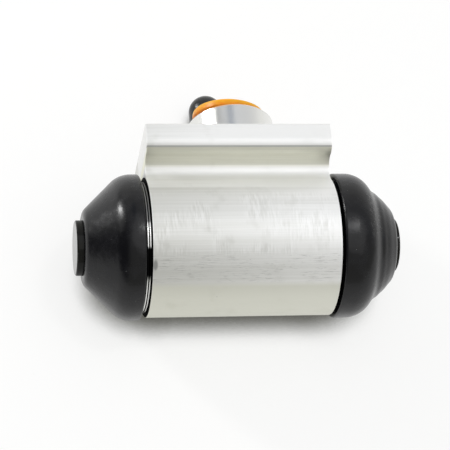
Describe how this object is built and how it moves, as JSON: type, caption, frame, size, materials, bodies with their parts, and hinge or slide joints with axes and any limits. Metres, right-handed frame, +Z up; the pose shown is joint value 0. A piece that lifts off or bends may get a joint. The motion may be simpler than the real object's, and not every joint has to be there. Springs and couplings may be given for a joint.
{
  "type": "drum brake wheel cylinder",
  "caption": "Drum brake wheel cylinder: aluminium barrel with a mounting flange, sprung pistons under rubber boots at both ends, and a plugged inlet boss and capped bleeder at the back.",
  "frame": {"origin": "middle of the mounting face, midway between the two fixing bolt holes; the bore axis lies 22.3 mm in front of it", "axes": "+X along the bore, +Y out of the mounting face towards the inlet side, +Z up as the cylinder lies on its barrel"},
  "size_m": [0.072, 0.0626, 0.0324],
  "materials": {
    "body_alloy": "satin extruded and turned, bare",
    "piston_alloy": "turned and hard-anodised, glossy black",
    "seal_rubber": "smooth black rubber",
    "plated_steel": "zinc plated",
    "spring_steel": "drawn wire",
    "boot_rubber": "satin black rubber",
    "cap_rubber": "satin black rubber",
    "plug_plastic": "translucent orange plastic"
  },
  "bodies": {
    "housing": {"housing": "body_alloy", "left_boot": "boot_rubber", "right_boot": "boot_rubber", "return_spring": "spring_steel"},
    "left_piston": {"left_piston": "piston_alloy", "left_cup": "seal_rubber", "left_expander": "plated_steel"},
    "right_piston": {"right_piston": "piston_alloy", "right_cup": "seal_rubber", "right_expander": "plated_steel"},
    "bleeder_screw": {"bleeder_screw": "plated_steel"},
    "bleeder_cap": {"bleeder_cap": "cap_rubber"},
    "inlet_plug": {"inlet_plug": "plug_plastic"}
  },
  "joints": [
    {"name": "left_piston_slide", "type": "slide", "parent": "housing", "child": "left_piston", "axis": [-1, 0, 0], "range_m": [-0.003, 0.007], "deforming": ["left_boot", "return_spring"]},
    {"name": "right_piston_slide", "type": "slide", "parent": "housing", "child": "right_piston", "axis": [1, 0, 0], "range_m": [-0.003, 0.007], "deforming": ["right_boot", "return_spring"]},
    {"name": "bleeder_turn", "type": "hinge", "parent": "housing", "child": "bleeder_screw", "pos_m": [-0.0018, 0, -0.0121], "axis": [0, 1, 0], "range_deg": [0, 360]},
    {"name": "bleeder_cap_pull", "type": "slide", "parent": "bleeder_screw", "child": "bleeder_cap", "axis": [0, 1, 0], "range_m": [0, 0.01]},
    {"name": "inlet_plug_pull", "type": "slide", "parent": "housing", "child": "inlet_plug", "axis": [0, 1, 0], "range_m": [0, 0.012]}
  ]
}
